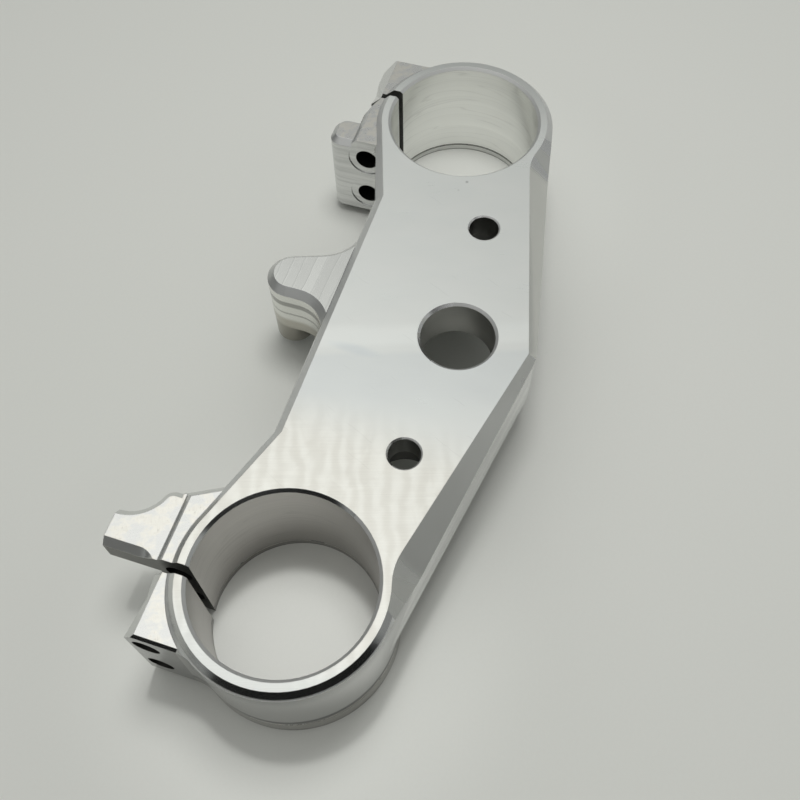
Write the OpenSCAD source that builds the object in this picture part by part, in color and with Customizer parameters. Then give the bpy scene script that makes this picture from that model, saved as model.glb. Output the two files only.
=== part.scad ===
// Motorcycle triple clamp: one billet of aluminium machined all over.
// Two tall split rings grip the fork tubes; a thinner plate joins them and
// carries the steering-stem bore, two riser holes and a lug at the front.
// Millimetres.  X runs along the line of the fork tubes, +Y is the front
// (clamp ears and lug), +Z is up.  The origin is on the steering-stem axis,
// in the top face.

/* [Main sizes] */
// distance between the two fork-tube axes
fork_spacing = 185; // [183:1:187]
// fork-tube axes ahead of the stem axis
fork_offset = 24; // [23:0.5:25]
// full height of the clamp rings
ring_height = 41.5; // [41:0.5:43]
// thickness of the plate between the rings
plate_thickness = 24; // [22:0.5:26]

/* [Bores] */
// fork-tube bore
fork_bore_d = 54; // [53.4:0.1:54.4]
// steering-stem bore
stem_bore_d = 24; // [22:0.5:26]
// depth of the stem bore below the top face
stem_seat_depth = 15; // [13:0.5:17]
// relief below the stem bore
stem_relief_d = 40; // [38:1:44]
// riser-bolt holes
riser_hole_d = 10; // [8:0.5:11]
// distance between the riser-bolt holes
riser_spacing = 90; // [86:1:94]
// depth of the riser holes above their underside counterbore
riser_web = 8.5; // [8:0.5:10]
// underside counterbore of the riser holes
riser_counterbore_d = 20; // [18:1:22]

/* [Pinch clamps] */
// clearance hole of a pinch bolt
pinch_bolt_d = 8.4; // [7:0.2:8.6]
// seat of a pinch-bolt head
pinch_seat_d = 14; // [13:0.5:15]
// spacing of the two pinch bolts of a ring
pinch_pitch = 18; // [17:0.5:18]
// width of the slot that splits a ring
slot_width = 3; // [2.5:0.25:3.5]

/* [Edges] */
// chamfer at the mouth of the fork bores
bore_chamfer = 1; // [0.6:0.1:1.2]
// chamfer along the front edge of the plate
front_chamfer = 3; // [2.5:0.25:3.5]

/* [Hidden] */
$fn = 96;
fx = fork_spacing / 2;
fy = fork_offset;
wall_r = fork_bore_d / 2 + 5.5;     // outer wall of a ring
rim_r = wall_r - 2.1;               // top face of a ring, inside its chamfer
top = ring_height;
plate_bottom = top - plate_thickness;
ear_bottom = 3.5;                   // the ears stop short of the floor
rear_y = fy - 49.5;                 // rear wall at the middle
rear_r = 17.5;                      // its rounding there
front_y = fy + 20.1;                // front wall at the middle
front_x = 48.5;                     // the front wall flares from here on
facet_y = fy - 47.1;                // rear edge of the top face, middle
facet_a = atan(0.242);              // and its slope in plan
pinch_x = fx + 5.7;                 // middle of the slot
pinch_y = fy + 32;
pinch_z = top - 20;                 // half way between the pinch bolts

// direction from the centre of circle a to the point where the common
// outer tangent touches it, on the right (-1) or left (1) of the way to b
function touch(a, ra, b, rb, side) =
    let (v = b - a)
    atan2(v[1], v[0]) + side * acos((ra - rb) / norm(v));
function at(c, r, a) = [c[0] + r * cos(a), c[1] + r * sin(a)];

// ---- helpers ---------------------------------------------------------------

// all that lies under a plane falling outward at the given tilt; it meets
// the height z along a line through p in direction a, material on the left
module under_slope(p, a, z = top, tilt = 45) {
    translate([p[0], p[1], z]) rotate([0, 0, a]) rotate([tilt, 0, 0])
        translate([-200, -200, -200]) cube([400, 400, 200]);
}

// removes a 45-degree bevel of width c from a top edge that starts at p and
// runs for len in direction a, material on the left
module bevel(p, a, len, c, z) {
    translate([p[0], p[1], z]) rotate([0, 0, a]) rotate([90, 0, 90])
        linear_extrude(len)
            polygon([[c, 0], [c + 0.5, 0.5], [-0.5, 0.5], [-0.5, -c - 0.5]]);
}

// the same for a hollow round edge of radius r
module bevel_hollow(p, r, c, z) {
    translate([p[0], p[1], z - c])
        cylinder(h = c + 0.5, r1 = r, r2 = r + c + 0.5);
}

// everything of the wedge [p, p1, p2] outside a round corner of radius r
// that is bevelled by c at its top edge
module round_off(pts, p, r, c, z, low) {
    difference() {
        translate([0, 0, low]) linear_extrude(z - low + 1) polygon(pts);
        translate([p[0], p[1], low - 1]) cylinder(h = z - c - low + 1, r = r);
        translate([p[0], p[1], z - c - 0.01])
            cylinder(h = c + 1.01, r1 = r, r2 = r - c - 1);
    }
}

// ---- plate and rings ---------------------------------------------------------

module plate_half_outline() {
    c = [fx, fy];
    m = [0, rear_y + rear_r];
    p = [front_x, front_y];
    ar = touch(m, rear_r, c, wall_r, -1);
    af = touch(p, 0, c, wall_r, 1);
    polygon([m, at(m, rear_r, ar), at(c, wall_r, ar), c,
             at(c, wall_r, af), p, [0, front_y]]);
}

// the cone that bounds the top edge of a ring; it runs on below the ring's
// own chamfer wherever plate or ear stands outside the ring
module ring_cone() {
    translate([fx, fy, -1])
        cylinder(h = top + 1, r1 = rim_r + top + 1, r2 = rim_r);
}

// plate top with its sloped front edge and broad rear flank
module plate_cap_half() {
    q = [front_x + 0.5, front_y - front_chamfer];
    c = [fx, fy];
    af = touch(q, 0, c, rim_r - 0.05, 1);
    intersection() {
        linear_extrude(top)
            polygon([[0, -60], [0, 100], at(c, 90, af), c, [fx, -60]]);
        under_slope([0, facet_y], facet_a);
        union() {
            under_slope([0, q[1]], 180);
            intersection() {
                under_slope(q, af + 90);
                translate([front_x - 10, -60, 0]) cube([80, 160, top]);
            }
        }
    }
}

// hollow corner between the rear edge of the plate top and the ring
hr = 18;
hn = [sin(facet_a), -cos(facet_a)];
ht = [cos(facet_a), sin(facet_a)];
hk = hn * [0, facet_y] + hr;
hs = ht * [fx, fy] - sqrt(pow(rim_r + hr, 2) - pow(hk - hn * [fx, fy], 2));
hc = ht * hs + hn * hk;

module rear_hollow() {
    v = ([fx, fy] - hc) / norm([fx, fy] - hc);
    difference() {
        translate([0, 0, top - 12]) linear_extrude(12)
            polygon([hc, hc + 28 * v, hc - 28 * hn]);
        translate([hc[0], hc[1], top - 13])
            cylinder(h = 14, r1 = hr - 13, r2 = hr + 1);
    }
}

module cap_half() {
    ring_cone();
    plate_cap_half();
    rear_hollow();
}

module plate_and_rings() {
    m = [0, rear_y + rear_r];
    difference() {
        intersection() {
            union() {
                translate([0, 0, plate_bottom])
                    linear_extrude(plate_thickness) {
                        plate_half_outline();
                        mirror([1, 0]) plate_half_outline();
                        translate(m) circle(r = rear_r);
                    }
                for (s = [-1, 1]) translate([s * fx, fy, 0])
                    cylinder(h = top, r = wall_r);
            }
            union() {
                cap_half();
                mirror([1, 0, 0]) cap_half();
            }
        }
        // the two halves of the rear flank meet in a round nose
        difference() {
            translate([0, 0, top - 12]) linear_extrude(13)
                polygon([m, at(m, 40, -90 - facet_a), at(m, 40, -90 + facet_a)]);
            translate([0, m[1], top - 13])
                cylinder(h = 14, r1 = rear_r - 2.4 + 13, r2 = rear_r - 3.4);
        }
    }
}

// ---- ears ----------------------------------------------------------------------

// outer ear: the block outside the slot; the right one has a cut corner
module outer_ear(right) {
    w = fx + 26.9;
    b = 15;
    f = [w + b, fy + sqrt(pow(wall_r + b - 0.1, 2) - pow(w + b - fx, 2))];
    flat = top - 2.8;
    intersection() {
        difference() {
            translate([0, 0, ear_bottom]) linear_extrude(top - ear_bottom)
                difference() {
                    if (right)
                        polygon([[fx + 18, fy + 6], [fx + 27, fy + 12], f,
                                 [w, f[1]], [w, fy + 35.3],
                                 [fx + 23.5, fy + 38.9],
                                 [pinch_x - 1, fy + 38.9],
                                 [pinch_x - 1, fy + 20]]);
                    else
                        polygon([[fx + 18, fy + 6], [fx + 27, fy + 12], f,
                                 [w, f[1]], [w, fy + 37.5],
                                 [pinch_x - 1, fy + 37.5],
                                 [pinch_x - 1, fy + 20]]);
                    translate(f) circle(r = b);
                }
        }
        union() {
            ring_cone();
            intersection() {
                translate([fx, fy - 20, 0]) cube([60, 80, flat]);
                // broad slope at the front, narrow one at the outside
                under_slope([fx, fy + 34], 180, flat);
                under_slope([w - 1, fy], 90, flat);
                // steep facet that draws the front back towards the slot
                under_slope([pinch_x - 1, fy + (right ? 33.2 : 33.6)],
                            180 + (right ? 18.1 : 6.7), flat, 70);
            }
        }
    }
}

// inner ear: the block between slot and plate, its top falls in one step
module inner_ear_outline(right) {
    if (right)
        polygon([[fx, fy], [fx - 19.6, fy + 19], [fx - 19.6, fy + 37.6],
                 [pinch_x + 1, fy + 37.6], [pinch_x + 1, fy]]);
    else
        polygon([[fx, fy], [fx - 25.5, fy + 22], [fx - 24, fy + 25.5],
                 [fx - 18.2, fy + 36.3], [fx - 17.7, fy + 37.5],
                 [fx - 17.7, fy + 38.5], [pinch_x + 1, fy + 38.5],
                 [pinch_x + 1, fy]]);
}

module inner_ear_cap(right) {
    intersection() {
        translate([fx - 40, fy - 20, 0]) cube([50, 80, top - 2]);
        union() {
            under_slope([fx, fy + 35.4], 180, top - 2);
            translate([fx - 40, fy - 20, 0]) cube([50, 80, top - 4]);
        }
        if (right)
            under_slope([pinch_x + 1, fy + 32.6], 158.7, top - 2, 70);
        else union() {
            under_slope([fx - 20.3, fy + 28.1], atan2(-7.3, -3.9), top - 2);
            under_slope([fx - 15.7, fy + 37], -90, top - 4);
        }
    }
}

module inner_ear(right) {
    intersection() {
        translate([0, 0, ear_bottom]) linear_extrude(top - ear_bottom)
            inner_ear_outline(right);
        union() {
            ring_cone();
            inner_ear_cap(right);
        }
    }
}

// rounded nose in front of the inner ear of the right ring
module stub() {
    z = top - 4;
    x1 = fx - 19.6;
    x2 = fx - 7;
    y = fy + 46.8;
    p = [x2 - 5, y - 5];            // its two rounded corners
    q = [x1 + 4, y - 4];
    difference() {
        translate([x1, fy + 30, ear_bottom])
            cube([x2 - x1, y - fy - 30, z - ear_bottom]);
        round_off([p, p + [0, 9], p + [9, 9], p + [9, 0]],
                  p, 5, 2, z, ear_bottom - 1);
        round_off([q, q - [8, 0], q + [-8, 8], q + [0, 8]],
                  q, 4, 2, z, ear_bottom - 1);
        bevel([x1, q[1] + 0.2], -90, q[1] - fy - 28, 2, z);
        bevel([x2, fy + 28], 90, p[1] - fy - 27.8, 2, z);
        bevel([p[0] + 0.2, y], 180, p[0] - q[0] + 0.4, 2, z);
    }
}

// long thin tab in front of the inner ear of the left ring (drawn mirrored)
module tab() {
    z = top - 4;
    p = [fx - 13.7, fy + 40.7];     // round shoulder
    v = [fx - 18.9, fy + 55.3];     // hollow flank
    w = [fx - 17.7, fy + 36];
    e = pinch_x - slot_width / 2;   // side next to the slot
    difference() {
        union() {
            translate([w[0], w[1], z - 10]) cube([e - w[0] + 0.4, 19.4, 10]);
            translate([w[0], w[1], ear_bottom])
                cube([14, 5, z - ear_bottom]);
        }
        // hollow flank and round shoulder, both bevelled
        translate([v[0], v[1], 0]) cylinder(h = top, r = 11.5);
        bevel_hollow(v, 11.5, 2, z);
        round_off([p, v, v - [12, 0], p - [12, 0]], p, 4, 2, z, ear_bottom - 1);
        bevel([w[0], p[1]], -90, 12, 2, z);
        // bevel next to the slot, running out in an arc
        bevel([e, fy + 44], 90, 20, 2.3, z);
        translate([e - 2.3 + 7, fy + 44, z - 2.3 - 0.5])
            cylinder(h = 2.8 + 0.5, r1 = 4.2, r2 = 7.5);
    }
}

// ---- front lug --------------------------------------------------------------------

module lug() {
    z = top - 3;
    low = plate_bottom;
    p = [10.3, fy + 36.9];          // rounded tip
    r = 8.6;
    k = [25.2, front_y];            // foot of the slanting right side
    a = touch(p, r, k, 0, 1);
    q = at(p, r, a);                // the slanting side leaves the tip here
    n = [cos(a), sin(a)];
    u = (k - q) / norm(k - q);
    h = 12;                         // hollow corner at the left foot
    g = 15;                         // hollow corner at the right foot
    b = atan2(-u[1], -u[0]) / 2;
    gc = k + g / sin(b) * [cos(b), sin(b)];
    hc2 = [p[0] - r - h, front_y + h];
    difference() {
        union() {
            translate([0, 0, low]) linear_extrude(z - low) difference() {
                union() {
                    translate(p) circle(r = r);
                    polygon([[p[0] - r, p[1]], [p[0] - r, front_y + h],
                             [p[0] - r - h, front_y + h],
                             [p[0] - r - h, front_y - 5],
                             [gc[0], front_y - 5], [gc[0], front_y + g], gc,
                             gc - g * n, q, p]);
                }
                translate(hc2) circle(r = h + 0.02);
                translate(gc) circle(r = g + 0.02);
            }
            // round boss below the tip
            translate([10.5, fy + 39.2, 5.5])
                cylinder(h = 20, r = 6.7);
        }
        // bevels: left side, tip, right side, both hollow feet
        bevel([p[0] - r, p[1]], -90, p[1] - front_y - h + 0.2, 2.5, z);
        round_off([p, p - [20, 0], p + [-20, 20], p + [20, 20], p + 20 * n],
                  p, r, 2.5, z, z - 4);
        bevel(gc - g * n + 0.2 * u, atan2(-u[1], -u[0]),
              norm(q - gc + g * n) + 0.4, 2.5, z);
        bevel_hollow(hc2, h + 0.02, 2.5, z);
        bevel_hollow(gc, g + 0.02, 2.5, z);
    }
}

// ---- everything that is cut through the part -----------------------------------------

module ring_cuts(right) {
    translate([fx, fy, 0]) {
        translate([0, 0, -1]) cylinder(h = top + 2, d = fork_bore_d);
        translate([0, 0, top - bore_chamfer])
            cylinder(h = bore_chamfer + 0.5, r1 = fork_bore_d / 2,
                     r2 = fork_bore_d / 2 + bore_chamfer + 0.5);
        // fine groove near the lower mouth
        translate([0, 0, 2.4]) cylinder(h = 0.4, d = fork_bore_d + 0.7);
        // fine groove round the outside, above the lower band
        difference() {
            translate([-60, -60, 7.8]) cube([120, 62, 0.5]);
            translate([0, 0, 7]) cylinder(h = 2, r = wall_r - 0.3);
            translate([-60, -60, 7]) cube([60, 120, 2]);
        }
    }
    // slot, open to the front
    translate([pinch_x - slot_width / 2, fy + 15, -1])
        cube([slot_width, 60, top + 2]);
    // pinch bolts and the seats of their heads
    for (s = [-1, 1]) translate([0, pinch_y, pinch_z + 9 * s * pinch_pitch / 18])
        rotate([0, 90, 0]) {
            translate([0, 0, fx - 40]) cylinder(h = 90, d = pinch_bolt_d);
            translate([0, 0, fx - 30])
                cylinder(h = right ? 10.8 : 12, d = pinch_seat_d);
        }
}

module stem_and_riser_cuts() {
    translate([0, 0, plate_bottom - 1]) {
        cylinder(h = plate_thickness + 2, d = stem_bore_d);
        cylinder(h = plate_thickness - stem_seat_depth + 1, d = stem_relief_d);
    }
    translate([0, 0, top - 0.9])
        cylinder(h = 1.4, d1 = stem_bore_d, d2 = stem_bore_d + 2.8);
    for (s = [-1, 1]) translate([s * riser_spacing / 2, fy - 20.4, 0]) {
        translate([0, 0, plate_bottom - 1])
            cylinder(h = plate_thickness + 2, d = riser_hole_d);
        translate([0, 0, plate_bottom - 1])
            cylinder(h = plate_thickness - riser_web + 1,
                     d = riser_counterbore_d);
        translate([0, 0, top - 0.5])
            cylinder(h = 1, d1 = riser_hole_d, d2 = riser_hole_d + 2);
    }
}

// built standing on its rings, then set down so that the top face is z = 0
module triple_clamp() {
    color([0.80, 0.81, 0.82]) translate([0, 0, -top])
    difference() {
        union() {
            plate_and_rings();
            for (s = [0, 1]) mirror([s, 0, 0]) {
                outer_ear(s == 0);
                inner_ear(s == 0);
            }
            stub();
            mirror([1, 0, 0]) tab();
            lug();
        }
        for (s = [0, 1]) mirror([s, 0, 0]) ring_cuts(s == 0);
        stem_and_riser_cuts();
    }
}

triple_clamp();
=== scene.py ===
import bmesh
import bpy
import math
from mathutils import Matrix, Vector


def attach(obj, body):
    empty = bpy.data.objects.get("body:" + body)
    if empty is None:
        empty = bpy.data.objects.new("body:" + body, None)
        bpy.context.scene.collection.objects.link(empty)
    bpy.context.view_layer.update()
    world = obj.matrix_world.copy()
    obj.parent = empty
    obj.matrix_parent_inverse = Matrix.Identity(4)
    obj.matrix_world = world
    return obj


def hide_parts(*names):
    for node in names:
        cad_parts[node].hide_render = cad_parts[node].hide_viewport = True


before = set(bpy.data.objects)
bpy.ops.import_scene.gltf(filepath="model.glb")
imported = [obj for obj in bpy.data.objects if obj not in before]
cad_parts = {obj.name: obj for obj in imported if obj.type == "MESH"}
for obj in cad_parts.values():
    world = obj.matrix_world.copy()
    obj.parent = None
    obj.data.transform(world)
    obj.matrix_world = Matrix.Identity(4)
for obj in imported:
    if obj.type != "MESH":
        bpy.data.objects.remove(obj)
bpy.context.view_layer.update()

MM = 0.001
FLOOR = -0.0415          # the plane the part lies on
SPACING, SETBACK = 92.5, 24.0   # fork bore centres, in mm
scene = bpy.context.scene
scene.view_settings.view_transform = "Standard"


# ---------------------------------------------------------------- node helpers
class V:
    """One socket of a node tree, with arithmetic that adds nodes."""

    def __init__(self, nt, sock):
        self.nt, self.sock = nt, sock

    def _math(self, op, *others, clamp=False):
        n = self.nt.nodes.new("ShaderNodeMath")
        n.operation, n.use_clamp = op, clamp
        for i, o in enumerate((self, *others)):
            put(self.nt, n.inputs[i], o)
        return V(self.nt, n.outputs[0])

    def __add__(self, o): return self._math("ADD", o)
    def __radd__(self, o): return self._math("ADD", o)
    def __sub__(self, o): return self._math("SUBTRACT", o)
    def __rsub__(self, o): return const(self.nt, o)._math("SUBTRACT", self)
    def __mul__(self, o): return self._math("MULTIPLY", o)
    def __rmul__(self, o): return self._math("MULTIPLY", o)
    def __truediv__(self, o): return self._math("DIVIDE", o)
    def __neg__(self): return self._math("MULTIPLY", -1.0)
    def sin(self): return self._math("SINE")
    def abs(self): return self._math("ABSOLUTE")
    def frac(self): return self._math("FRACT")
    def floor(self): return self._math("FLOOR")
    def sqrt(self): return self._math("SQRT")
    def power(self, o): return self._math("POWER", o)
    def clamp(self): return self._math("ADD", 0.0, clamp=True)
    def least(self, o): return self._math("MINIMUM", o)
    def most(self, o): return self._math("MAXIMUM", o)

    def step(self, a, b, to0=0.0, to1=1.0):
        """Smooth change from to0 at a to to1 at b."""
        n = self.nt.nodes.new("ShaderNodeMapRange")
        n.interpolation_type = "SMOOTHSTEP"
        put(self.nt, n.inputs["Value"], self)
        for k, v in (("From Min", a), ("From Max", b), ("To Min", to0), ("To Max", to1)):
            n.inputs[k].default_value = v
        return V(self.nt, n.outputs[0])


def put(nt, sock, value):
    if isinstance(value, V):
        nt.links.new(value.sock, sock)
    elif isinstance(value, bpy.types.NodeSocket):
        nt.links.new(value, sock)
    else:
        sock.default_value = value


def const(nt, value):
    n = nt.nodes.new("ShaderNodeValue")
    n.outputs[0].default_value = value
    return V(nt, n.outputs[0])


def split(nt, vec):
    n = nt.nodes.new("ShaderNodeSeparateXYZ")
    put(nt, n.inputs[0], vec)
    return [V(nt, n.outputs[i]) for i in range(3)]


def join(nt, x, y, z=0.0):
    n = nt.nodes.new("ShaderNodeCombineXYZ")
    for i, v in enumerate((x, y, z)):
        put(nt, n.inputs[i], v)
    return V(nt, n.outputs[0])


def noise(nt, vec, scale=1.0, detail=2.0, rough=0.5, distort=0.0):
    n = nt.nodes.new("ShaderNodeTexNoise")
    put(nt, n.inputs["Vector"], vec)
    n.inputs["Scale"].default_value = scale
    n.inputs["Detail"].default_value = detail
    n.inputs["Roughness"].default_value = rough
    n.inputs["Distortion"].default_value = distort
    return V(nt, n.outputs["Fac"])


def cells(nt, vec, scale=1.0):
    n = nt.nodes.new("ShaderNodeTexVoronoi")
    put(nt, n.inputs["Vector"], vec)
    n.inputs["Scale"].default_value = scale
    return V(nt, n.outputs["Distance"])


def mix_colour(nt, fac, a, b):
    n = nt.nodes.new("ShaderNodeMix")
    n.data_type = "RGBA"
    put(nt, n.inputs[0], fac)
    for sock, v in ((n.inputs[6], a), (n.inputs[7], b)):
        if isinstance(v, V):
            put(nt, sock, v)
        else:
            sock.default_value = (*v, 1.0)
    return V(nt, n.outputs[2])


def scaled(nt, colour, value):
    """A colour made darker or lighter by a number."""
    n = nt.nodes.new("ShaderNodeVectorMath")
    n.operation = "SCALE"
    if isinstance(colour, V):
        put(nt, n.inputs[0], colour)
    else:
        n.inputs[0].default_value = colour
    put(nt, n.inputs["Scale"], value)
    return V(nt, n.outputs[0])


def place(nt):
    """x, y, z on the part, in mm."""
    tc = nt.nodes.new("ShaderNodeTexCoord")
    x, y, z = split(nt, tc.outputs["Object"])
    return x * 1000.0, y * 1000.0, z * 1000.0


def start(name):
    mat = bpy.data.materials.new(name)
    mat.use_nodes = True
    nt = mat.node_tree
    bsdf = nt.nodes["Principled BSDF"]
    return mat, nt, bsdf


def place_spot(x, y, cx, cy, rx, ry):
    """1 at a point of the top face, fading to 0 at an ellipse round it."""
    dx, dy = (x - cx) / rx, (y - cy) / ry
    return (dx * dx + dy * dy).sqrt().step(1.0, 0.2)


def bump(nt, height, distance, strength=1.0, under=None):
    """Surface relief: height 0 to 1 is distance in mm."""
    n = nt.nodes.new("ShaderNodeBump")
    n.inputs["Strength"].default_value = strength
    n.inputs["Distance"].default_value = distance * MM
    put(nt, n.inputs["Height"], height)
    if under is not None:
        put(nt, n.inputs["Normal"], under)
    return V(nt, n.outputs[0])


def soft_edge(nt, radius):
    """The hand-broken edge of a machined part, as a normal."""
    n = nt.nodes.new("ShaderNodeBevel")
    n.samples = 4
    n.inputs["Radius"].default_value = radius * MM
    return V(nt, n.outputs[0])


# ------------------------------------------------------------------- finishes
ALU = (0.91, 0.915, 0.905)


def metal(name, rough, anis=0.0, tangent=None):
    mat, nt, b = start(name)
    b.inputs["Metallic"].default_value = 1.0
    b.inputs["Roughness"].default_value = rough
    b.inputs["Base Color"].default_value = (*ALU, 1.0)
    if anis:
        b.inputs["Anisotropic"].default_value = anis
        if tangent:
            put(nt, b.inputs["Tangent"], join(nt, *tangent))
    return mat, nt, b


def fly_cut(name, rough=0.27, glow=True):
    """The top face: fine cutter lines in long shallow arcs, with painted reflections: wavy painted highlight streaks
    near one end, a painted bright band and cool patch in the middle, painted shade at the far end.
    """
    mat, nt, b = metal(name, rough, 0.55, (0.95, 0.31, 0.0))
    x, y, z = place(nt)
    u = x * 0.3126 - y * 0.9499
    w = x * 0.9499 + y * 0.3126
    arc = w + u * u * 0.0016
    fine = noise(nt, join(nt, u * 0.10, arc * 5.5, z), 1.0, 3.0, 0.6)
    cross = noise(nt, join(nt, u * 3.5, w * 0.22, z), 1.0, 2.0, 0.5)
    patch = noise(nt, join(nt, u * 0.05, w * 0.09, z), 1.0, 2.0, 0.5)
    # near end: a painted reflection, the base darkened, with wavy painted highlight streaks over it
    near = x.step(-30.0, -52.0)
    drift = noise(nt, join(nt, u * 0.09, w * 0.06, 3.0), 1.0, 1.0)
    lane = (u * 1.17 + drift * 11.0).sin() * 0.5 + 0.5
    lane2 = noise(nt, join(nt, u * 0.24, w * 0.16, 9.0), 1.0, 2.0, 0.5, 0.9)
    highlight_shimmer = (lane * 0.34 + lane2 * 0.66).step(0.26, 0.80) * near * x.step(-121.0, -112.0)
    highlight_streak = noise(nt, join(nt, u * 0.045, w * 2.6, 4.0), 1.0, 3.0, 0.65).step(0.35, 0.75)
    # a painted bright reflection band across the middle of the top, and beside it a painted cooler, darker reflection
    # patch
    wave = w + noise(nt, join(nt, u * 0.06, 1.0, 1.0)) * 3.0
    bright_reflection_band = wave.step(-3.0, 0.0) * wave.step(8.0, 3.5)
    cool_reflection_patch = wave.step(-3.0, -6.0) * wave.step(-34.0, -16.0) * (0.5 + patch)
    blue = place_spot(x, y, -14.5, 30.0, 2.6, 11.0)
    # a few hair scratches
    ha = x * 0.42 + y * 0.91
    hb = (x * 0.91 - y * 0.42 + noise(nt, join(nt, ha * 0.15, 0.0, 2.0)) * 1.6)
    hair = ((hb / 7.0).frac() - 0.5).abs().step(0.012, 0.0)
    hair = hair * noise(nt, join(nt, ha * 0.09, hb * 0.12, 7.0), 1.0, 1.0).step(0.60, 0.66)
    shade = (0.945 + patch * 0.03 + fine * 0.03 - near * 0.065 + highlight_shimmer * 0.13
             + highlight_streak * near * 0.055 + bright_reflection_band * 0.06 - hair * 0.14 - blue * 0.04 - cool_reflection_patch * 0.045)
    # painted shade: the top is darker towards the far end
    shade = shade * (1.0 - x.step(84.0, 122.0) * 0.28)
    # two small pits
    pits = place_spot(x, y, 63.3, 14.8, 0.8, 0.8).most(place_spot(x, y, 58.8, 16.6, 0.6, 0.6) * 0.4)
    shade = shade * (1.0 - pits * 0.35)
    colour = mix_colour(nt, patch, (0.87, 0.905, 0.88), (0.90, 0.915, 0.885))
    cool = mix_colour(nt, (blue * 0.7 + cool_reflection_patch * 0.4).clamp(), colour, (0.83, 0.88, 0.89))
    # the near end's painted highlight is tinted warm cream
    warm_reflection_tint = mix_colour(nt, near * (0.9 - highlight_shimmer * 0.25) * x.step(-120.0, -100.0), cool, (0.935, 0.922, 0.85))
    put(nt, b.inputs["Base Color"], scaled(nt, warm_reflection_tint, shade))
    put(nt, b.inputs["Roughness"], rough - 0.04 + patch * 0.08 + fine * 0.05)
    n1 = bump(nt, fine * 0.7 + cross * 0.3, 0.012, 0.5, soft_edge(nt, 0.3))
    n2 = bump(nt, patch, 0.25, 0.25, n1)
    put(nt, b.inputs["Normal"], n2)
    return mat


def ledge_cut(name, rough=0.24):
    """Steps beside the rings: short diagonal cutter lines."""
    mat, nt, b = metal(name, rough, 0.3, (0.0, 1.0, 0.0))
    x, y, z = place(nt)
    a = x * 0.9 + y * 0.44
    c = x * -0.44 + y * 0.9
    fine = noise(nt, join(nt, a * 1.8, c * 0.12, z), 1.0, 2.0, 0.5)
    patch = noise(nt, join(nt, a * 0.22, c * 0.16, z), 1.0, 3.0, 0.6)
    # a few short nicks
    nick = noise(nt, join(nt, a * 0.35 + patch * 2.0, c * 1.5, 5.0), 1.0, 0.0)
    nick = (nick - 0.5).abs().step(0.012, 0.0) * patch.step(0.50, 0.58)
    cloud = patch.step(0.42, 0.58)
    colour = mix_colour(nt, cloud, (0.90, 0.91, 0.89), (0.97, 0.952, 0.88))
    # painted shade: the ledges are darker towards the far end
    put(nt, b.inputs["Base Color"], scaled(nt, colour,
        (0.95 + cloud * 0.06 + fine * 0.05) * (1.0 - nick * 0.2) * (1.0 - x.step(30.0, 60.0) * 0.25)))
    put(nt, b.inputs["Roughness"], rough + patch * 0.08)
    n1 = bump(nt, fine - nick * 2.0, 0.014, 0.5, soft_edge(nt, 0.3))
    put(nt, b.inputs["Normal"], bump(nt, patch, 0.15, 0.3, n1))
    return mat


def lug_cut(name):
    """The lug's top: broad parallel passes of a round cutter."""
    mat, nt, b = metal(name, 0.23, 0.3, (0.0, 1.0, 0.0))
    x, y, z = place(nt)
    wob = noise(nt, join(nt, x * 0.10, y * 0.1, 0.0), 1.0, 2.0)
    t = (y + x * 0.03 + wob * 1.6) / 3.5
    tone = noise(nt, join(nt, t.floor() * 3.7, 0.5, 0.5), 1.0, 0.0)
    ridge = (t.frac() - 0.5).abs().step(0.40, 0.49)
    fine = noise(nt, join(nt, x * 0.3, y * 6.0, z), 1.0, 3.0, 0.6)
    blot = noise(nt, join(nt, x * 0.25, y * 0.25, z), 1.0, 2.0, 0.6)
    # the ridges are real relief, bumped below, and also painted lighter: a painted highlight along each ridge
    put(nt, b.inputs["Base Color"], scaled(nt, (0.90, 0.915, 0.885),
        0.76 + tone * 0.20 + ridge * 0.08 + blot * 0.06))
    put(nt, b.inputs["Roughness"], 0.22 + fine * 0.08)
    n1 = bump(nt, fine, 0.02, 0.5)
    put(nt, b.inputs["Normal"], bump(nt, ridge, 0.05, 0.8, n1))
    return mat


def edge_cut(name, rough=0.13, level=1.0):
    """Chamfers: a narrow, cleaner cut that mirrors its surroundings."""
    mat, nt, b = metal(name, rough)
    x, y, z = place(nt)
    fine = noise(nt, join(nt, x * 0.7, y * 0.7, z * 3.0), 1.0, 3.0, 0.6)
    # the lower half of the near ring's chamfer is rougher and painted lighter, a painted highlight standing in for a
    # rounded-over edge
    dx, dy = x + SPACING, y - SETBACK
    low = (dx * dx + dy * dy).sqrt().step(31.85, 32.35) * z.step(-3.0, -2.4)
    put(nt, b.inputs["Base Color"], scaled(nt, ALU, (0.82 + fine * 0.06 + low * 0.15) * level))
    put(nt, b.inputs["Roughness"], rough + fine * 0.06 + low * 0.40)
    put(nt, b.inputs["Normal"], bump(nt, fine, 0.01, 0.4, soft_edge(nt, 0.25)))
    return mat


def facet_cut(name, rough=0.26, level=1.0):
    """The long rear slope: an even satin cut."""
    mat, nt, b = metal(name, rough, 0.3, (0.0, 0.707, 0.707))
    x, y, z = place(nt)
    fine = noise(nt, join(nt, x * 0.4, y * 4.0, z * 4.0), 1.0, 3.0, 0.6)
    patch = noise(nt, join(nt, x * 0.05, y * 0.1, z * 0.1), 1.0, 2.0)
    # painted shade: the slope is darker towards the near end
    shade = (0.97 + patch * 0.09) * (1.0 - x.step(-20.0, -65.0) * 0.17) * level
    put(nt, b.inputs["Base Color"], scaled(nt, (0.92, 0.92, 0.885), shade))
    put(nt, b.inputs["Roughness"], rough + patch * 0.05)
    put(nt, b.inputs["Normal"], bump(nt, fine, 0.012, 0.5))
    return mat


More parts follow.
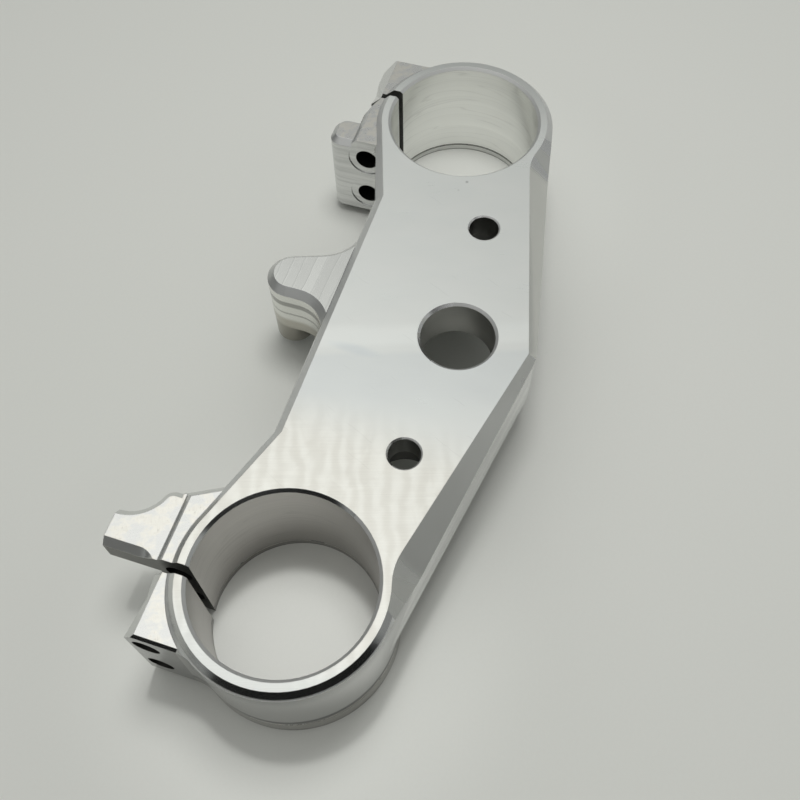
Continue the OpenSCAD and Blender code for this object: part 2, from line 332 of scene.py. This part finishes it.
def bored(name):
    """Fork bores: turned rings one above the other, with painted shade at the near end, a painted shadow line at the
    bottom relief step, darker below it, and a painted contact shadow at the floor.
    """
    mat, nt, b = metal(name, 0.3, 0.6, (0.0, 0.0, 1.0))
    x, y, z = place(nt)
    lines = noise(nt, join(nt, x * 0.02, y * 0.02, z * 3.2), 1.0, 3.0, 0.7)
    bands = noise(nt, join(nt, x * 0.012, y * 0.012, z * 0.22), 1.0, 2.0, 0.5)
    # painted shade: the near bore is darker and browner; a painted shadow line sits at the relief step and a painted
    # contact shadow at the floor
    near_painted_shade = x.step(0.0, -20.0)
    step_shadow = z.step(-38.35, -38.65) * z.step(-39.45, -39.15)
    foot = z.step(-38.9, -39.0)
    contact_shadow = z.step(-40.8, -41.4)
    mark = ((bands * 6.0 + z / 3.1).frac() - 0.5).abs().step(0.10, 0.0)
    tint = mix_colour(nt, near_painted_shade, (0.90, 0.905, 0.88), (0.50, 0.485, 0.465))
    shade = 0.84 + bands * 0.22 + lines * 0.10 - mark * 0.10
    shade = shade * (1.0 - step_shadow * 0.75) * (1.0 - foot * 0.22) * (1.0 - contact_shadow * 0.6)
    put(nt, b.inputs["Base Color"], scaled(nt, tint, shade))
    put(nt, b.inputs["Roughness"], 0.24 + bands * 0.12)
    put(nt, b.inputs["Normal"], bump(nt, lines, 0.02, 0.6))
    return mat


def drilled(name, level=1.0):
    """Small holes and the stem bore: coarser walls painted dark as shade, darker still deeper down."""
    mat, nt, b = metal(name, 0.35)
    x, y, z = place(nt)
    lines = noise(nt, join(nt, x * 0.1, y * 0.1, z * 3.0), 1.0, 3.0, 0.7)
    # painted shade, deeper in the hole
    depth_shade = z.step(-9.0, -20.0)
    put(nt, b.inputs["Base Color"], scaled(nt, (0.54, 0.54, 0.515), (0.85 + lines * 0.2) * (1.0 - depth_shade * 0.5) * level))
    put(nt, b.inputs["Roughness"], 0.3 + lines * 0.12)
    put(nt, b.inputs["Normal"], bump(nt, lines, 0.03, 0.6))
    return mat


def sawn(name, colour=(0.22, 0.22, 0.21)):
    """The clamp slots and the long bolt holes: rough cuts, painted dark as the shade inside them."""
    mat, nt, b = metal(name, 0.5)
    x, y, z = place(nt)
    lines = noise(nt, join(nt, x, y * 0.5, z * 2.0), 1.0, 3.0, 0.7)
    put(nt, b.inputs["Base Color"], scaled(nt, colour, 0.7 + lines * 0.6))
    put(nt, b.inputs["Normal"], bump(nt, lines, 0.05, 0.6))
    return mat


def ring_wall(name, rough=0.16):
    """Outside of the rings: smooth milled walls, with painted shade under the chamfer, a painted shadow line at a
    machining step, brownish below it, and a painted contact shadow at the floor.
    """
    mat, nt, b = metal(name, rough, 0.3, (0.0, 0.0, 1.0))
    x, y, z = place(nt)
    lines = noise(nt, join(nt, x * 0.03, y * 0.03, z * 2.5), 1.0, 3.0, 0.6)
    # painted shade under the chamfer, a painted shadow line at the step, and a painted contact shadow at the bottom
    under_chamfer_shade = z.step(-10.0, -3.0)
    step_shadow = z.step(-29.2, -30.2) * z.step(-32.8, -31.8)
    foot = z.step(-31.5, -32.5)
    contact_shadow = z.step(-39.5, -41.0)
    tint = mix_colour(nt, foot, ALU, (0.66, 0.64, 0.60))
    shade = (0.60 + lines * 0.05 - under_chamfer_shade * 0.20) * (1.0 - step_shadow * 0.85) * (1.0 - contact_shadow * 0.6)
    put(nt, b.inputs["Base Color"], scaled(nt, tint, shade))
    put(nt, b.inputs["Roughness"], rough + lines * 0.06)
    put(nt, b.inputs["Normal"], bump(nt, lines, 0.015, 0.5, soft_edge(nt, 0.45)))
    return mat


def side_wall(name, level=1.0):
    """Ears and plate sides: broad horizontal passes of the side of a cutter."""
    mat, nt, b = metal(name, 0.2, 0.3, (0.0, 0.0, 1.0))
    x, y, z = place(nt)
    bands = noise(nt, join(nt, x * 0.02, y * 0.02, z * 0.5), 1.0, 2.0, 0.6)
    lines = noise(nt, join(nt, x * 0.08, y * 0.08, z * 3.0), 1.0, 3.0, 0.6)
    # painted shade: the side walls are darker towards the far end
    put(nt, b.inputs["Base Color"], scaled(nt, ALU, (0.76 + bands.step(0.35, 0.65) * 0.19) * level * (1.0 - x.step(30.0, 60.0) * 0.17)))
    put(nt, b.inputs["Roughness"], 0.16 + bands * 0.14)
    n1 = bump(nt, lines, 0.02, 0.5)
    put(nt, b.inputs["Normal"], bump(nt, bands, 0.22, 0.5, n1))
    return mat


def lug_side(name):
    """The lug's sides and boss: a few passes, each leaving a line, browner towards the bottom, with painted shade
    lowest down.
    """
    mat, nt, b = metal(name, 0.22, 0.3, (0.0, 0.0, 1.0))
    x, y, z = place(nt)
    wob = noise(nt, join(nt, x * 0.12, y * 0.12, 0.0), 1.0, 2.0) * 0.5
    h = z + wob
    line = h.step(-8.4, -8.9) * h.step(-11.4, -10.6)
    line2 = h.step(-14.6, -15.0) * h.step(-15.9, -15.3)
    foot = h.step(-17.5, -20.0)
    # painted shade towards the floor
    depth_shade = h.step(-22.0, -25.0)
    fine = noise(nt, join(nt, x * 0.15, y * 0.15, z * 4.0), 1.0, 3.0, 0.6)
    tint = mix_colour(nt, foot, (0.88, 0.88, 0.84), (0.58, 0.56, 0.50))
    shade = (0.86 + fine * 0.08) * (1.0 - line * 0.50) * (1.0 - line2 * 0.35) * (1.0 - depth_shade * 0.25)
    put(nt, b.inputs["Base Color"], scaled(nt, tint, shade))
    put(nt, b.inputs["Roughness"], 0.2 + fine * 0.1)
    n1 = bump(nt, fine, 0.02, 0.5)
    put(nt, b.inputs["Normal"], bump(nt, 1.0 - line.most(line2), 0.12, 0.6, n1))
    return mat


FINISHES = [
    fly_cut("top_fly_cut"),
    ledge_cut("ledge_cut"),
    lug_cut("lug_top_cut"),
    edge_cut("edge_cut"),
    facet_cut("facet_cut"),
    bored("bore_turned"),
    drilled("hole_drilled"),
    ring_wall("ring_wall_cut"),
    side_wall("side_wall_cut"),
    # slot and bolt hole colours are dark: painted shade
    sawn("slot_sawn_painted_shade"),
    sawn("bolt_hole_painted_shade", (0.06, 0.06, 0.055)),
    # a darker copy of the side finish: painted shade on the outer wall at the near end
    side_wall("side_wall_painted_shade", 0.46),
    lug_side("lug_side_cut"),
    edge_cut("edge_cut_rough", 0.36),
    # a darker copy of the hole finish: painted shade in the riser holes
    drilled("riser_hole_painted_shade", 0.6),
    # a lighter copy of the facet finish: painted light on the curved run-out
    facet_cut("facet_run_out_painted_light", 0.22, 1.12),
    # a darker copy of the side finish on the underside: painted shade that also dims the floor beneath
    side_wall("underside_painted_shade", 0.55),
    # a rougher, lighter copy of the chamfer finish: painted highlight on the bore mouth
    edge_cut("bore_mouth_painted_highlight", 0.6, 1.12),
]
(TOP, LEDGE, LUG, EDGE, FACET, BORE, HOLE, RING, SIDE, SLOT,
 BOLT, SHADED_OUTER_WALL, LUG_SIDE, EDGE_ROUGH, RISER, RUN_OUT, UNDER, MOUTH_HIGHLIGHT) = range(18)


def finish_of(n, c):
    """Which cut made a face, from its normal and its middle in mm."""
    x, y, z = c
    ax = abs(x)
    fork = math.hypot(ax - SPACING, y - SETBACK)
    if abs(ax - 98.2) < 1.7 and y > SETBACK + 20 and abs(n.x) > 0.9:
        return SLOT
    if fork < 27.9 and abs(n.z) < 0.3 and not (y > SETBACK + 20 and abs(n.x) > 0.9):
        return BORE
    if math.hypot(x, y) < 20.6 and abs(n.z) < 0.3:
        return HOLE
    if math.hypot(ax - 45.0, y - 3.6) < 10.4 and abs(n.z) < 0.3:
        return RISER
    for hz in (-11.0, -29.0):
        dy, dz = 56.0 - y, hz - z
        r = math.hypot(dy, dz)
        if abs(n.x) < 0.3 and r < 7.2 and n.y * dy + n.z * dz > 0.85 * r:
            return BOLT if r < 4.6 else (HOLE if x < 0 else SIDE)
    if n.z > 0.99:
        if z > -0.15:
            return TOP
        if ax < 30 and y > 40:
            return LUG
        return LEDGE
    if n.z < -0.99:
        return UNDER
    if n.z > 0.4:
        if y < 20 and n.y < -0.3 and ax < 92:
            across = abs(n.x) * 0.9720 + n.y * 0.2350     # 0 on the straight slope
            return FACET if abs(across) < 0.05 else RUN_OUT
        # these bore-mouth chamfers get the painted highlight copy
        if fork < 28.6 and x < 0 and (n.x > 0.1 or n.y > 0.35):
            return MOUTH_HIGHLIGHT
        if ax < 40 and y > 42 and z < -3.05:
            return EDGE_ROUGH
        if 70 < x < 87 and y > 60:
            return EDGE_ROUGH
        if x < -90 and y > 66 and n.x < -0.3:
            return EDGE_ROUGH
        return EDGE
    if fork < 34.5 and z > -42.0:
        return RING
    # the outer wall at the near end gets the painted shade copy
    if x < -100 and n.x < -0.5:
        return SHADED_OUTER_WALL
    if ax < 34 and y > 44:
        return LUG_SIDE
    return SIDE


# ----------------------------------------------------------------- the billet
def billet():
    """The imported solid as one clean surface, each face with the finish of the cut that made it."""
    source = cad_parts["triple_clamp"]
    bm = bmesh.new()
    bm.from_mesh(source.data)
    bmesh.ops.remove_doubles(bm, verts=bm.verts, dist=1e-6)
    bm.normal_update()
    for f in bm.faces:
        f.material_index = finish_of(f.normal, f.calc_center_median() / MM)
        f.smooth = True
    for e in bm.edges:
        flat = e.is_manifold and e.calc_face_angle() < math.radians(22)
        e.smooth = flat
    mesh = bpy.data.meshes.new("billet_surface")
    bm.to_mesh(mesh)
    bm.free()
    for m in FINISHES:
        mesh.materials.append(m)
    obj = bpy.data.objects.new("billet_clamp", mesh)
    scene.collection.objects.link(obj)
    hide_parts("triple_clamp")
    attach(obj, "root")
    wn = obj.modifiers.new("even_normals", "WEIGHTED_NORMAL")
    wn.keep_sharp = True
    wn.weight = 100
    return obj


billet()


# ----------------------------------------------------------------- the studio
def floor():
    mesh = bpy.data.meshes.new("floor_plane")
    s = 2.5
    mesh.from_pydata([(-s, -s, FLOOR), (s, -s, FLOOR), (s, s, FLOOR), (-s, s, FLOOR)], [], [(0, 1, 2, 3)])
    obj = bpy.data.objects.new("floor_plane", mesh)
    scene.collection.objects.link(obj)
    mat, nt, b = start("pale_floor")
    x, y, z = place(nt)
    blot = noise(nt, join(nt, x * 0.004, y * 0.004, 0.0), 1.0, 3.0, 0.5)
    grain = noise(nt, join(nt, x * 0.9, y * 0.9, 0.0), 1.0, 2.0, 0.5)
    c = mix_colour(nt, blot, (0.675, 0.69, 0.645), (0.705, 0.71, 0.675))
    put(nt, b.inputs["Base Color"], scaled(nt, c, 0.985 + grain * 0.03))
    b.inputs["Roughness"].default_value = 0.42
    b.inputs["Specular IOR Level"].default_value = 0.35
    mesh.materials.append(mat)


def direction(azimuth, elevation):
    a, e = math.radians(azimuth), math.radians(elevation)
    return (math.cos(e) * math.cos(a), math.cos(e) * math.sin(a), math.sin(e))


def studio():
    """A soft tent of light: bright overhead, dimmer towards the horizon, dark where it opens at one side."""
    world = bpy.data.worlds.new("studio")
    scene.world = world
    world.use_nodes = True
    nt = world.node_tree
    bg = nt.nodes["Background"]
    tc = nt.nodes.new("ShaderNodeTexCoord")
    d = V(nt, tc.outputs["Generated"])
    x, y, z = split(nt, d)

    def towards(azimuth, elevation):
        n = nt.nodes.new("ShaderNodeVectorMath")
        n.operation = "DOT_PRODUCT"
        put(nt, n.inputs[0], d)
        n.inputs[1].default_value = direction(azimuth, elevation)
        return V(nt, n.outputs["Value"])

    def cap(azimuth, elevation, inner, outer):
        return towards(azimuth, elevation).step(math.cos(math.radians(outer)), math.cos(math.radians(inner)))

    def side(azimuth, inner, outer):
        """1 within inner degrees of a compass direction, 0 beyond outer."""
        a = math.radians(azimuth)
        flat = (x * x + y * y).sqrt().most(0.001)
        along = (x * math.cos(a) + y * math.sin(a)) / flat
        return along.step(math.cos(math.radians(outer)), math.cos(math.radians(inner)))

    level = 0.24 + z.step(0.10, 0.80) * 0.31
    level = level + cap(52, 74, 4, 30) * 0.47
    level = level + cap(164, 46, 6, 20) * 0.25
    dark = side(206, 55, 68) * z.step(0.66, 0.44)
    dark2 = side(92, 25, 50) * z.step(0.62, 0.35)
    level = level * (1.0 - dark * 0.97) * (1.0 - dark2 * 0.6)
    tint = mix_colour(nt, z.step(0.3, 0.9), (0.97, 1.0, 0.975), (1.0, 1.0, 0.98))
    put(nt, bg.inputs["Color"], tint)
    put(nt, bg.inputs["Strength"], level)


def lamp(name, at, size, watts, to=(0.0, 0.0, -0.04)):
    """A soft round light that shades the object and the floor and stays out of the mirror images."""
    data = bpy.data.lights.new(name, "AREA")
    data.shape, data.size, data.energy = "DISK", size, watts
    obj = bpy.data.objects.new(name, data)
    scene.collection.objects.link(obj)
    obj.location = at
    obj.rotation_mode = "QUATERNION"
    obj.rotation_quaternion = (Vector(to) - Vector(at)).to_track_quat("-Z", "Y")
    obj.visible_glossy = False


def spot(name, at, to, watts):
    """A narrow soft light into a fork bore."""
    data = bpy.data.lights.new(name, "SPOT")
    data.energy = watts
    data.spot_size = math.radians(7.5)
    data.spot_blend = 1.0
    data.shadow_soft_size = 0.05
    obj = bpy.data.objects.new(name, data)
    scene.collection.objects.link(obj)
    obj.location = at
    obj.rotation_mode = "QUATERNION"
    obj.rotation_quaternion = (Vector(to) - Vector(at)).to_track_quat("-Z", "Y")
    obj.visible_glossy = False


def camera():
    cam = bpy.data.objects.new("camera", bpy.data.cameras.new("camera"))
    scene.collection.objects.link(cam)
    right = Vector((0.31256251, -0.94948435, -0.02800256))
    down = Vector((-0.83527398, -0.26068793, -0.48410658))
    ahead = Vector((0.45235169, 0.17470338, -0.87456085))
    m = Matrix((right, -down, -ahead)).transposed().to_4x4()
    m.translation = Vector((-0.16088, -0.03508, 0.24389))
    cam.matrix_world = m
    cam.data.sensor_width = 36.0
    cam.data.lens = 41.39
    cam.data.shift_x = 0.0213
    cam.data.shift_y = 0.0196
    cam.data.clip_start, cam.data.clip_end = 0.01, 20.0
    scene.camera = cam


floor()
studio()
lamp("overhead", (0.13, 0.01, 0.64), 0.24, 1.5)
spot("spot_left", (0.05, 0.055, 0.58), (-0.0955, 0.023, -0.04), 13.5)
spot("spot_right", (0.0925, 0.024, 0.60), (0.0925, 0.024, -0.04), 7.5)
camera()

bpy.context.view_layer.update()
